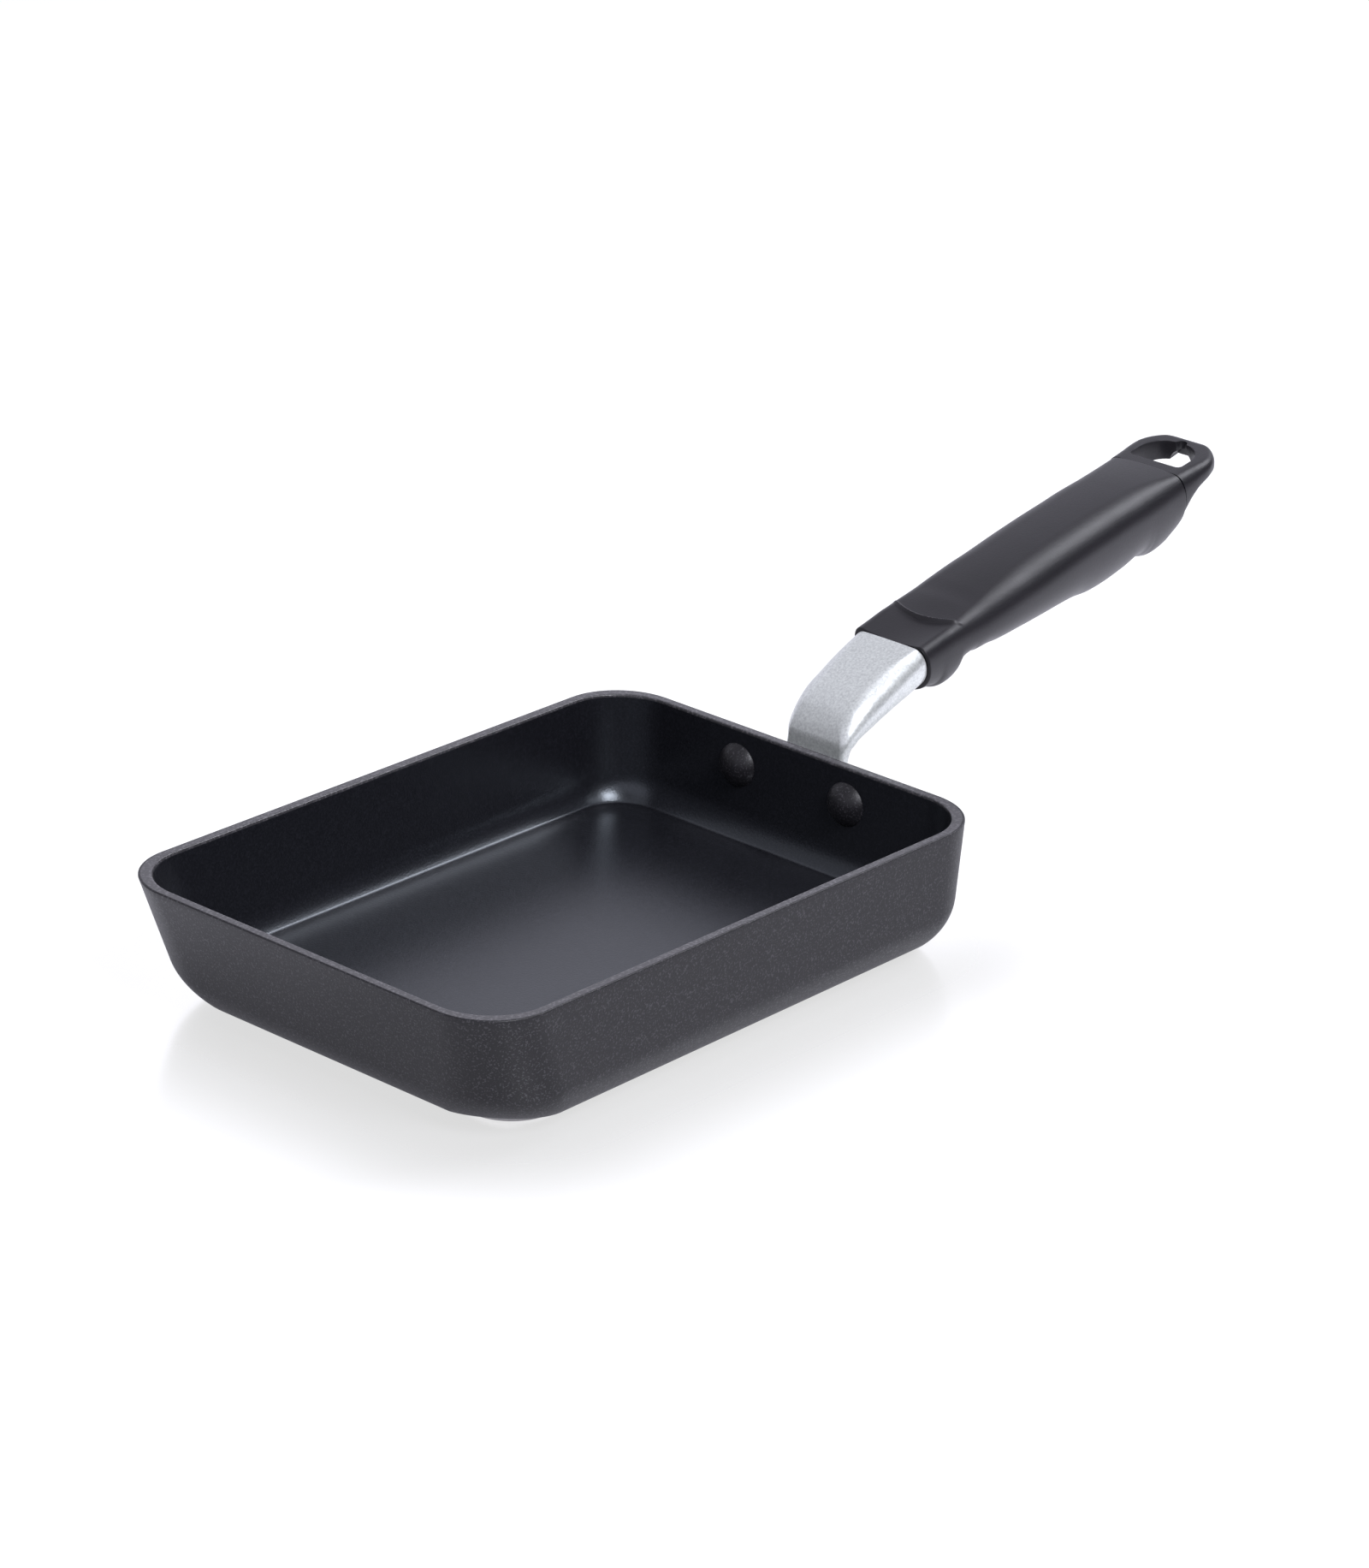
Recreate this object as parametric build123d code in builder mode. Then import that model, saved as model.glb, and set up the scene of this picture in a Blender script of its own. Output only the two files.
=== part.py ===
from build123d import *
import os
from math import cos, pi, radians, sin, tan

# A tamagoyaki pan: a rectangular, coated aluminium pan for rolled omelettes, with a
# thick floor, a bonded steel base, a die-cast bracket riveted to the rear wall, and a
# long moulded grip that ends in a loop to hang it by.
# Millimetres. +X runs to the handle, +Z up, and the pan is the same on both sides of
# Y = 0. The origin is on the hob, under the middle of the rim.

# Pan body
rim_length = 185.0
rim_width = 128.5
rim_height = 36.3
rim_corner_radius = 17.7
rim_edge_radius = 0.35
wall_thickness = 2.7
front_taper = 17.5
rear_taper = 1.9
side_taper = 4.1
bottom_radius = 13.4
floor_height = 6.8
floor_radius = 11.5

# Base plate, let into the underside and standing proud of it
base_thickness = 1.6
base_proud = 0.5
base_margin = 9.7
base_corner_radius = 13.0
base_edge_radius = 0.4

# Rivets through the rear wall and the bracket's flange
rivet_spacing = 37.0
rivet_height = 26.0
rivet_shank_diameter = 5.0
rivet_head_diameter = 12.0
rivet_head_height = 3.3
rivet_tail_diameter = 9.0
rivet_tail_height = 1.8
rivet_clearance = 0.05

# Bracket: the flange on the wall, the stem, and the tang inside the grip
flange_width = 51.0
flange_height = 16.5
flange_thickness = 3.4
flange_top = 31.5
flange_corner_radius = 7.0
flange_edge_radius = 1.0
stem_reach = 32.4
stem_rise = 25.0
stem_half_width = 12.0
stem_depth = 13.8
stem_corner = 3.9
tang_width = 10.0
tang_thickness = 7.0
tang_length = 56.0
tang_drop = 7.4
core_angle = 11.5

# Grip
handle_angle = 15.0
grip_length = 112.5
grip_depth = 25.0
grip_half_width = 13.4
grip_corner = 5.4
grip_gap = 0.2
collar_step = 1.05
socket_clearance = 0.2

# Hanging loop, with the spigot that the screw pulls into the grip
loop_length = 21.5
loop_thickness = 7.5
loop_angle = 9.0
loop_end_radius = 11.0
loop_edge_radius = 3.2
loop_root_length = 4.6
loop_root_inset = 0.12
ring_start = 0.9
eye_wall = 3.7
eye_length = 13.0
eye_width = 17.4
eye_end_radius = 8.0
eye_root_radius = 1.5
notch_diameter = 3.2
spigot_diameter = 10.0
spigot_length = 13.0
spigot_floor = 3.0
spigot_clearance = 0.15

# Screw
screw_diameter = 4.0
screw_length = 60.0
screw_head_diameter = 7.0
screw_head_height = 2.6
screw_slot_width = 1.2
screw_slot_depth = 1.1
screw_tip_chamfer = 0.6
screw_clearance = 0.3
thread_clearance = 0.05

overrun = 1.0

# The section of stem and grip: a flat top, corners that are quarters of an ellipse, and
# below them the lower half of a superellipse, which a power of 2 would make an ellipse.
# The corners are this much narrower than high, and no higher than a share of the depth.
corner_slant = 0.66
corner_limit = 0.45
under_power = 2.2
flat_shares = (0.4, 0.75, 0.93)
corner_points = 7
under_points = 10

# Stem stations from flange to grip: forward and up as shares of reach and rise, the
# angle of its run, and depth and half width as shares of their full sizes.
stem_shares = [
    (0.000, -0.040, 0.0, 1.03, 0.92),
    (0.022, -0.028, 20.0, 0.83, 0.90),
    (0.049, -0.012, 45.0, 0.52, 0.87),
    (0.076, 0.053, 87.0, 0.33, 0.83),
    (0.104, 0.247, 78.0, 0.46, 0.88),
    (0.172, 0.436, 62.0, 0.70, 0.93),
    (0.307, 0.608, 42.0, 0.82, 0.96),
    (0.506, 0.745, 29.0, 0.87, 0.98),
    (0.753, 0.890, 24.0, 0.97, 0.99),
    (1.000, 1.000, 15.0, 1.00, 1.00),
]

# Grip stations from bracket to loop: along the grip as shares of its length, its top
# and underside as shares of its depth, and its half width as a share of the full one.
# The first low point on the underside is the guard that stops a finger.
grip_shares = [
    (0.000, 0.019, -0.619, 0.967),
    (0.046, 0.006, -0.691, 0.979),
    (0.086, -0.003, -0.775, 0.988),
    (0.110, -0.008, -0.748, 0.993),
    (0.137, -0.013, -0.587, 0.998),
    (0.162, -0.017, -0.573, 1.002),
    (0.189, -0.021, -0.610, 1.006),
    (0.224, -0.026, -0.640, 1.009),
    (0.278, -0.032, -0.711, 1.010),
    (0.349, -0.039, -0.777, 1.008),
    (0.455, -0.055, -0.866, 1.002),
    (0.571, -0.086, -0.958, 0.994),
    (0.686, -0.126, -1.086, 0.986),
    (0.775, -0.161, -1.105, 0.982),
    (0.829, -0.186, -1.085, 0.981),
    (0.873, -0.209, -1.148, 0.984),
    (0.918, -0.236, -1.208, 0.988),
    (0.962, -0.268, -1.167, 0.993),
    (1.000, -0.297, -1.011, 1.000),
]

# Loop root stations: along its length, and how much of the extra depth of the grip's
# end is left, both as shares.
root_shares = [(0.0, 1.0), (0.33, 0.52), (0.66, 0.17), (1.0, 0.0)]

# Sections lofted for each stretch between two stations of a table
loft_steps = 3


def come_in(taper, drop, thickness=0.0):
    """How far inside the rim's outline a leaning wall lies, below the rim."""
    return drop * tan(radians(taper)) + thickness / cos(radians(taper))


def pan_outline(height, thickness=0.0):
    """Front, rear and half width of the pan at a height, a wall thickness inside."""
    drop = rim_height - height
    front = -rim_length / 2 + come_in(front_taper, drop, thickness)
    rear = rim_length / 2 - come_in(rear_taper, drop, thickness)
    return front, rear, rim_width / 2 - come_in(side_taper, drop, thickness)


def sloped_plane(place, angle):
    """A plane across a run that climbs at an angle: its X is the pan's Y, its Y is up."""
    return Plane(origin=place, x_dir=(0, 1, 0), z_dir=(cos(radians(angle)), 0, sin(radians(angle))))


def smoothed(table):
    """Rows on a smooth curve through a table's rows, with no new high or low points."""
    fine_columns = []
    for column in zip(*table):
        rises = [after - before for before, after in zip(column, column[1:])]
        rates = [rises[0]]
        for before, after in zip(rises, rises[1:]):
            rates.append(2 * before * after / (before + after) if before * after > 0 else 0)
        rates.append(rises[-1])
        fine = []
        for k, rise in enumerate(rises):
            for step in range(loft_steps):
                t = step / loft_steps
                bend = t * (1 - t) * ((1 - t) * (rates[k] - rise) - t * (rates[k + 1] - rise))
                fine.append(column[k] + rise * t + bend)
        fine_columns.append(fine + [column[-1]])
    return list(zip(*fine_columns))


def section_outline(half_width, top, bottom, corner):
    """Points round a handle section, in the plane across it."""
    height = min(corner, corner_limit * (top - bottom))
    width = corner_slant * height
    widest = top - height
    side = [(share * (half_width - width), top) for share in flat_shares]
    for step in range(corner_points + 1):
        angle = pi / 2 * step / corner_points
        side.append((half_width - width * (1 - sin(angle)), widest + height * cos(angle)))
    for step in range(1, under_points):
        angle = pi / 2 * step / under_points
        across = half_width * cos(angle) ** (2 / under_power)
        side.append((across, widest - (widest - bottom) * sin(angle) ** (2 / under_power)))
    return [(0, top), *[(-across, up) for across, up in side], (0, bottom), *reversed(side)]


# Places that follow from the sizes
body_bottom = base_proud
foot_front, foot_rear, foot_half = pan_outline(body_bottom)
wall_plane = sloped_plane(
    Vector(rim_length / 2 - come_in(rear_taper, rim_height - rivet_height), 0, rivet_height),
    -rear_taper,
)
rivet_places = [(rivet_spacing / 2, 0), (-rivet_spacing / 2, 0)]
flange_face = wall_plane.origin.X + flange_thickness
stem_end = sloped_plane(Vector(flange_face + stem_reach, 0, flange_top + stem_rise), handle_angle)
grip_top = grip_shares[0][1] * grip_depth
handle_line = sloped_plane(
    stem_end.from_local_coords((0, collar_step - grip_top, grip_gap)), handle_angle,
)
core_line = sloped_plane(handle_line.from_local_coords((0, -tang_drop, 0)), core_angle)
core_length = grip_length / cos(radians(handle_angle - core_angle))
spigot_start = core_length - spigot_length
screw_seat = spigot_start + spigot_floor
end_top = grip_shares[-1][1] * grip_depth
end_depth = end_top - grip_shares[-1][2] * grip_depth
end_half = grip_shares[-1][3] * grip_half_width
loop_start = handle_line.from_local_coords((0, end_top, grip_length))
loop_plane = Plane(
    origin=loop_start,
    x_dir=(cos(radians(loop_angle)), 0, sin(radians(loop_angle))),
    z_dir=(-sin(radians(loop_angle)), 0, cos(radians(loop_angle))),
)

# Pan body: a loft between rounded rectangles, less the cavity, the pocket for the base
# plate and the rivet holes
with BuildPart() as cavity:
    cavity_bottom = body_bottom + wall_thickness
    for height in (cavity_bottom, rim_height + overrun):
        front, rear, half = pan_outline(height, wall_thickness)
        with BuildSketch(Plane.XY.offset(height)):
            with Locations(((front + rear) / 2, 0)):
                RectangleRounded(rear - front, 2 * half, rim_corner_radius - wall_thickness)
    loft(ruled=True)
    fillet(cavity.faces().sort_by(Axis.Z)[0].edges(), floor_radius)
    split(bisect_by=Plane.XY.offset(floor_height), keep=Keep.TOP)

with BuildPart() as pan_body:
    for height in (body_bottom, rim_height):
        front, rear, half = pan_outline(height)
        with BuildSketch(Plane.XY.offset(height)):
            with Locations(((front + rear) / 2, 0)):
                RectangleRounded(rear - front, 2 * half, rim_corner_radius)
    loft(ruled=True)
    fillet(pan_body.faces().sort_by(Axis.Z)[0].edges(), bottom_radius)
    add(cavity.part, mode=Mode.SUBTRACT)
    fillet(pan_body.faces().sort_by(Axis.Z)[-1].edges(), rim_edge_radius)
    base_length = foot_rear - foot_front - 2 * base_margin
    base_width = 2 * (foot_half - base_margin)
    base_place = ((foot_front + foot_rear) / 2, 0)
    with BuildSketch():
        with Locations(base_place):
            RectangleRounded(base_length, base_width, base_corner_radius)
    extrude(amount=base_thickness, mode=Mode.SUBTRACT)
    with BuildSketch(wall_plane.offset(overrun)):
        with Locations(*rivet_places):
            Circle(rivet_shank_diameter / 2 + rivet_clearance)
    extrude(amount=-(wall_thickness + 2 * overrun), mode=Mode.SUBTRACT)

# Base plate
with BuildPart() as base_plate:
    with BuildSketch():
        with Locations(base_place):
            RectangleRounded(base_length, base_width, base_corner_radius)
    extrude(amount=base_thickness)
    fillet(base_plate.faces().sort_by(Axis.Z)[0].edges(), base_edge_radius)

# Rivets: a low dome inside the pan, the shank, and a flatter tail on the flange
with BuildPart() as pan_rivets:
    for across, up in rivet_places:
        place = wall_plane.from_local_coords((across, up, 0))
        with BuildSketch(Plane(origin=place, x_dir=(0, 1, 0), z_dir=wall_plane.y_dir)):
            with BuildLine():
                crown = (0, wall_thickness + rivet_head_height)
                brim = (rivet_head_diameter / 2, wall_thickness)
                tail = (rivet_tail_diameter / 2, -flange_thickness)
                tip = (0, -flange_thickness - rivet_tail_height)
                shank = rivet_shank_diameter / 2
                TangentArc(crown, brim, tangent=(1, 0))
                Polyline(brim, (shank, wall_thickness), (shank, -flange_thickness), tail)
                TangentArc(tip, tail, tangent=(1, 0))
                Line(tip, crown)
            make_face()
        revolve(axis=Axis(place, wall_plane.z_dir))

# Bracket: flange, lofted stem and tang in one casting
with BuildPart() as stem:
    for forward, up, angle, deep, wide in smoothed(stem_shares):
        root = overrun if angle == 0 else 0
        place = Vector(flange_face + forward * stem_reach - root, 0, flange_top + up * stem_rise)
        half = wide * stem_half_width
        with BuildSketch(sloped_plane(place, angle)):
            with BuildLine():
                Spline(*section_outline(half, 0, -deep * stem_depth, stem_corner), periodic=True)
            make_face()
    loft(ruled=True)

with BuildPart() as handle_bracket:
    with BuildSketch(wall_plane):
        with Locations((0, flange_top - flange_height / 2 - rivet_height)):
            RectangleRounded(flange_width, flange_height, flange_corner_radius)
    extrude(amount=flange_thickness)
    fillet(handle_bracket.faces().sort_by(Axis.X)[-1].edges(), flange_edge_radius)
    add(stem.part)
    with BuildSketch(core_line.offset(-grip_gap - overrun)):
        Rectangle(tang_width, tang_thickness)
    extrude(amount=tang_length + grip_gap + overrun)
    with BuildSketch(core_line.offset(tang_length)):
        Circle(screw_diameter / 2 + thread_clearance)
    extrude(amount=screw_seat - screw_length - tang_length - overrun, mode=Mode.SUBTRACT)
    with BuildSketch(wall_plane.offset(-overrun)):
        with Locations(*rivet_places):
            Circle(rivet_shank_diameter / 2 + rivet_clearance)
    extrude(amount=flange_thickness + 2 * overrun, mode=Mode.SUBTRACT)

# Grip: one moulding, with the socket for the tang, the bore for the screw and the
# pocket for the loop's spigot
with BuildPart() as handle_grip:
    for along, top, under, wide in smoothed(grip_shares):
        with BuildSketch(handle_line.offset(along * grip_length)):
            with BuildLine():
                half, face, foot = wide * grip_half_width, top * grip_depth, under * grip_depth
                Spline(*section_outline(half, face, foot, grip_corner), periodic=True)
            make_face()
    loft(ruled=True)
    with BuildSketch(core_line.offset(-overrun)):
        Rectangle(tang_width + 2 * socket_clearance, tang_thickness + 2 * socket_clearance)
    extrude(amount=tang_length + socket_clearance + overrun, mode=Mode.SUBTRACT)
    with BuildSketch(core_line.offset(tang_length)):
        Circle(screw_diameter / 2 + screw_clearance)
    extrude(amount=spigot_start - tang_length, mode=Mode.SUBTRACT)
    with BuildSketch(core_line.offset(spigot_start - spigot_clearance)):
        Circle(spigot_diameter / 2 + spigot_clearance)
    extrude(amount=spigot_length + spigot_clearance + overrun, mode=Mode.SUBTRACT)

# Hanging loop: a flat ring, the root that matches the grip's end, and the spigot
with BuildPart() as loop_root:
    for along, extra in smoothed(root_shares):
        depth = loop_thickness + extra * (end_depth - loop_thickness) - 2 * loop_root_inset
        slope = -along * loop_root_length * tan(radians(handle_angle - loop_angle))
        with BuildSketch(handle_line.offset(grip_length + along * loop_root_length)):
            with BuildLine():
                half, face = end_half - loop_root_inset, end_top + slope - loop_root_inset
                Spline(*section_outline(half, face, face - depth, grip_corner), periodic=True)
            make_face()
    loft(ruled=True)

with BuildPart() as hanging_loop:
    with BuildSketch(loop_plane) as ring_plan:
        with Locations((ring_start, 0)):
            Rectangle(loop_length - ring_start, 2 * end_half, align=(Align.MIN, Align.CENTER))
        fillet(ring_plan.vertices().sort_by(Axis.X)[-2:], loop_end_radius)
    extrude(amount=-loop_thickness)
    ring_faces = hanging_loop.faces().sort_by(Axis(loop_start, loop_plane.z_dir))
    ring_edges = ring_faces[0].edges() + ring_faces[-1].edges()
    fillet(ring_edges.sort_by(Axis(loop_start, loop_plane.x_dir))[2:], loop_edge_radius)
    add(loop_root.part)
    with BuildSketch(core_line.offset(spigot_start)):
        Circle(spigot_diameter / 2)
    extrude(amount=spigot_length + eye_wall)
    with BuildSketch(loop_plane.offset(overrun)) as eye_plan:
        with Locations((eye_wall, 0)):
            Rectangle(eye_length, eye_width, align=(Align.MIN, Align.CENTER))
        fillet(eye_plan.vertices().sort_by(Axis.X)[-2:], eye_end_radius)
        fillet(eye_plan.vertices().sort_by(Axis.X)[:2], eye_root_radius)
        with Locations((eye_wall + eye_length, 0)):
            Circle(notch_diameter / 2)
    extrude(amount=-(end_depth + 2 * overrun), mode=Mode.SUBTRACT)
    with BuildSketch(core_line.offset(spigot_start - overrun)):
        Circle(screw_diameter / 2 + screw_clearance)
    extrude(amount=spigot_floor + 2 * overrun, mode=Mode.SUBTRACT)
    with BuildSketch(core_line.offset(screw_seat)):
        Circle(screw_head_diameter / 2 + screw_clearance)
    extrude(amount=core_length - screw_seat + eye_wall + overrun, mode=Mode.SUBTRACT)

# Screw: from its seat in the spigot through the grip into the tang's thread
with BuildPart() as handle_screw:
    with BuildSketch(core_line.offset(screw_seat - screw_length)):
        Circle(screw_diameter / 2)
    extrude(amount=screw_length)
    chamfer(handle_screw.edges().sort_by(Axis(core_line.origin, core_line.z_dir))[0], screw_tip_chamfer)
    with BuildSketch(core_line.offset(screw_seat)):
        Circle(screw_head_diameter / 2)
    extrude(amount=screw_head_height)
    with BuildSketch(core_line.offset(screw_seat + screw_head_height)):
        Rectangle(screw_head_diameter + overrun, screw_slot_width)
    extrude(amount=-screw_slot_depth, mode=Mode.SUBTRACT)

pieces = {
    "pan_body": pan_body,
    "base_plate": base_plate,
    "pan_rivets": pan_rivets,
    "handle_bracket": handle_bracket,
    "handle_grip": handle_grip,
    "hanging_loop": hanging_loop,
    "handle_screw": handle_screw,
}
os.makedirs("parts", exist_ok=True)
for name, piece in pieces.items():
    piece.part.label = name
    export_step(piece.part, f"parts/{name}.step")
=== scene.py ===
# %% [markdown]
# A rectangular pan for rolled omelettes: a dark coated body, two rivets, a silver
# bracket and a long black grip with an eye to hang it by. The solids come from the
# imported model, which fixes every place and size. This lesson dresses them: pieces whose
# shape shows in highlights are made again as finer meshes in the same space, and each
# finish is worked out with nodes.

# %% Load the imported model
import bmesh
import bpy
import numpy as np
from math import cos, pi, radians, sin, sqrt, tan
from mathutils import Matrix, Vector


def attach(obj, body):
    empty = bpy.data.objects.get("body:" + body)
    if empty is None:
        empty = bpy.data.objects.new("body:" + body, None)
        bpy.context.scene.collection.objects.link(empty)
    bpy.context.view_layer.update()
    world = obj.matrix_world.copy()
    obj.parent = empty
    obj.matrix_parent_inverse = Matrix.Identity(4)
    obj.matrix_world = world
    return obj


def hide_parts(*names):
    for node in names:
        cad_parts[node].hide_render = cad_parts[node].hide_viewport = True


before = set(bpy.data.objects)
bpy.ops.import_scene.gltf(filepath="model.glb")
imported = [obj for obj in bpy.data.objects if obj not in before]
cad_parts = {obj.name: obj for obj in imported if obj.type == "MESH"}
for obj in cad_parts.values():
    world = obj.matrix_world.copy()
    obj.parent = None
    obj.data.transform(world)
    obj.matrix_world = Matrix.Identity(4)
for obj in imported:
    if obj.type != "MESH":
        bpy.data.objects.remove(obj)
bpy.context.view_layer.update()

MM = 0.001

# %% [markdown]
# The camera. A product shot like this one is taken with a long lens from well back, so
# the pan's sides hardly converge. The place and the lens were fitted to the rim's four
# sides. A camera can be aimed with a Track To constraint, but a matrix of its three
# directions also gives its slight roll.

# %% Camera
camera_turn, camera_rise, camera_roll = radians(-49.574), radians(22.631), radians(2.314)
camera_place = Vector((-865.304, -777.002, 538.149)) * MM
camera_back = Vector((sin(camera_turn) * cos(camera_rise),
                      -cos(camera_turn) * cos(camera_rise), sin(camera_rise)))
level_right = Vector((cos(camera_turn), sin(camera_turn), 0))
level_up = camera_back.cross(level_right)
camera_right = level_right * cos(camera_roll) + level_up * sin(camera_roll)
camera_up = level_up * cos(camera_roll) - level_right * sin(camera_roll)

camera = bpy.data.objects.new("camera", bpy.data.cameras.new("camera"))
bpy.context.scene.collection.objects.link(camera)
camera.data.lens = 117.27
camera.data.sensor_width = 36
camera.data.clip_start, camera.data.clip_end = 0.05, 20
turn = Matrix((camera_right, camera_up, camera_back)).transposed().to_4x4()
camera.matrix_world = Matrix.Translation(camera_place) @ turn
bpy.context.scene.camera = camera
bpy.context.scene.view_settings.view_transform = "Standard"
print("camera at", [round(v, 3) for v in camera_place], "lens", camera.data.lens)

# %% [markdown]
# Node trees are sums and products of sockets, so a small class that wraps a socket and
# knows + - * / keeps them readable. Every other node comes from one method, which takes
# its type, its settings and what goes into its sockets.

# %% A socket with arithmetic
class Sock:
    """One output of a node, which can be added, multiplied and so on."""

    def __init__(self, tree, socket):
        self.tree, self.socket = tree, socket

    def math(self, operation, *others, clamp=False):
        node = self.tree.nodes.new("ShaderNodeMath")
        node.operation, node.use_clamp = operation, clamp
        for slot, value in zip(node.inputs, (self, *others)):
            plug(self.tree, slot, value)
        return Sock(self.tree, node.outputs[0])

    def __add__(self, other): return self.math("ADD", other)
    def __sub__(self, other): return self.math("SUBTRACT", other)
    def __mul__(self, other): return self.math("MULTIPLY", other)
    def __truediv__(self, other): return self.math("DIVIDE", other)
    def __neg__(self): return self.math("MULTIPLY", -1.0)
    def __radd__(self, other): return self + other
    def __rmul__(self, other): return self * other
    def __rsub__(self, other): return -self + other
    def __rtruediv__(self, other): return wrap(self.tree, other).math("DIVIDE", self)
    def __pow__(self, other): return self.math("POWER", other)
    def clamped(self): return self.math("MULTIPLY", 1.0, clamp=True)
    def above(self, edge, soft): return ((self - (edge - soft / 2)) / soft).clamped()


def plug(tree, slot, value):
    """Links a socket to an input, or sets it to a plain value."""
    if isinstance(value, Sock):
        tree.links.new(value.socket, slot)
    elif value is not None:
        slot.default_value = value


def wrap(tree, number):
    """A number as a socket, for sums that start with one."""
    node = tree.nodes.new("ShaderNodeValue")
    node.outputs[0].default_value = number
    return Sock(tree, node.outputs[0])


class Tree:
    """A node tree that makes nodes by type, settings and inputs."""

    def __init__(self, tree):
        self.tree = tree

    def node(self, kind, settings=None, inputs=None, output=0):
        node = self.tree.nodes.new(kind)
        for name, value in (settings or {}).items():
            setattr(node, name, value)
        for name, value in (inputs or {}).items():
            plug(self.tree, node.inputs[name], value)
        self.last = node
        return None if output is None else Sock(self.tree, node.outputs[output])

    def split(self, vector):
        self.node("ShaderNodeSeparateXYZ", inputs={0: vector})
        return [Sock(self.tree, out) for out in self.last.outputs]

    def noise(self, place, scale, detail):
        return self.node("ShaderNodeTexNoise", inputs={"Vector": place, "Scale": scale, "Detail": detail})

    def blend(self, factor, low, high):
        return self.node("ShaderNodeMix", {"data_type": "RGBA", "clamp_factor": True},
                         {0: factor, 6: low, 7: high}, output=2)

    def bump(self, height, strength, distance):
        return self.node("ShaderNodeBump", inputs={"Height": height, "Strength": strength,
                                                   "Distance": distance})


print("node helpers ready")

# %% [markdown]
# Finishes. Each is one Principled shader: constants go straight onto its sockets, and
# only what varies over the surface comes through nodes. Colours are given as they look
# on a screen, so a helper turns them into the linear values that Blender uses.

# %% Starting a finish
def shade(*screen):
    """A linear colour from screen values of 0 to 255, or from one grey."""
    channels = [c / 255 for c in (screen * 3 if len(screen) == 1 else screen)]
    return (*[c / 12.92 if c <= 0.04045 else ((c + 0.055) / 1.055) ** 2.4 for c in channels], 1.0)


def finish(name, **constants):
    """A new material, its tree, its Principled shader and the place on the object."""
    material = bpy.data.materials.new(name)
    material.use_nodes = True
    tree = Tree(material.node_tree)
    shader = next(n for n in tree.tree.nodes if n.type == "BSDF_PRINCIPLED")
    for socket, value in constants.items():
        shader.inputs[socket.replace("_", " ")].default_value = value
    place = tree.node("ShaderNodeTexCoord", output=3)
    return material, tree, shader, place


def cover(tree, shader, base, roughness, normal=None):
    """Plugs in what varies over the surface."""
    for socket, value in (("Base Color", base), ("Roughness", roughness), ("Normal", normal)):
        plug(tree.tree, shader.inputs[socket], value)


print("a screen grey of 128 is", round(shade(128)[0], 3), "in linear light")

# %% [markdown]
# The coating outside is a matt grey lacquer with a fine metallic speckle, the kind that
# hides scratches. Fine noise gives the speckle its grains, which are also glossier, and a
# very low bump makes the highlights sparkle a little. Wide, soft clouds of a browner
# shade keep the coat from looking printed.

# %% Coating outside
outside_coat, tree, shader, place = finish("outside_coat", IOR=1.41)
grains = tree.noise(place, 1900.0, 1.0)
clouds = tree.noise(place, 60.0, 2.0)
base = tree.blend(grains.above(0.62, 0.10), shade(19, 18, 22), shade(56, 55, 59))
base = tree.blend(clouds * 0.3, base, shade(25, 23, 26))
cover(tree, shader, base, 0.50 - grains * 0.14, tree.bump(grains, 0.25, 0.00006))
print(outside_coat.name)

# %% [markdown]
# Inside, the non-stick coat is black and smoother, so its floor mirrors the bright room
# softly. The spray leaves a faint orange-peel texture, which is a low bump. A specular
# tint cools what it mirrors a little.

# %% Coating inside
inside_coat, tree, shader, place = finish("inside_coat", IOR=1.6, Specular_Tint=(0.85, 0.93, 1.0, 1.0))
peel = tree.noise(place, 1700.0, 2.0)
wide = tree.noise(place, 45.0, 2.0)
base = tree.blend(peel.above(0.60, 0.30), shade(16, 16, 20), shade(28, 28, 33))
cover(tree, shader, base, 0.27 + wide * 0.04, tree.bump(peel, 0.6, 0.00006))
print(inside_coat.name)

# %% [markdown]
# The rim is turned flat after casting, so the coat lies thinner and greyer on it.

# %% Coating on the rim
rim_coat, tree, shader, place = finish("rim_coat", IOR=1.52)
grains = tree.noise(place, 1300.0, 1.0)
base = tree.blend(grains.above(0.58, 0.16), shade(52, 51, 54), shade(84, 82, 86))
cover(tree, shader, base, 0.40 - grains * 0.12, tree.bump(grains, 0.2, 0.00005))
print(rim_coat.name)

# %% [markdown]
# The bracket is die-cast aluminium with a satin, faintly pearly silver lacquer. Such a
# lacquer is flakes of metal in a milky binder, so it is part metal and part diffuse. Fine
# noise roughens it and gives the grain that a bead-blasted surface shows.

# %% Satin metal of the bracket
satin_metal, tree, shader, place = finish("satin_metal", Metallic=0.68, IOR=1.3)
grain = tree.noise(place, 1600.0, 2.0)
cloud = tree.noise(place, 70.0, 2.0)
base = tree.blend(grain.above(0.5, 0.5), shade(190, 193, 192), shade(224, 227, 225))
cover(tree, shader, base, 0.29 + grain * 0.10 + cloud * 0.04, tree.bump(grain, 0.25, 0.00005))
print(satin_metal.name)

# %% [markdown]
# The grip and the loop are black phenolic with a satin skin. The mould was finely
# etched, so the surface carries a grain that only shows as a soft edge to highlights.

# %% Moulded grip
grip_black, tree, shader, place = finish("grip_black", IOR=1.45)
etch = tree.noise(place, 1900.0, 2.0)
flow = tree.noise(place, 55.0, 2.0)
base = tree.blend(flow.above(0.5, 0.5), shade(17, 16, 20), shade(22, 20, 25))
cover(tree, shader, base, 0.37 + etch * 0.08, tree.bump(etch, 0.5, 0.00006))
print(grip_black.name)

# %% [markdown]
# The induction plate is stainless steel, brushed along the pan. The brushing is noise
# stretched along one axis with a Mapping node. The screw is plated steel with a plain
# fine grain.

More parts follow.
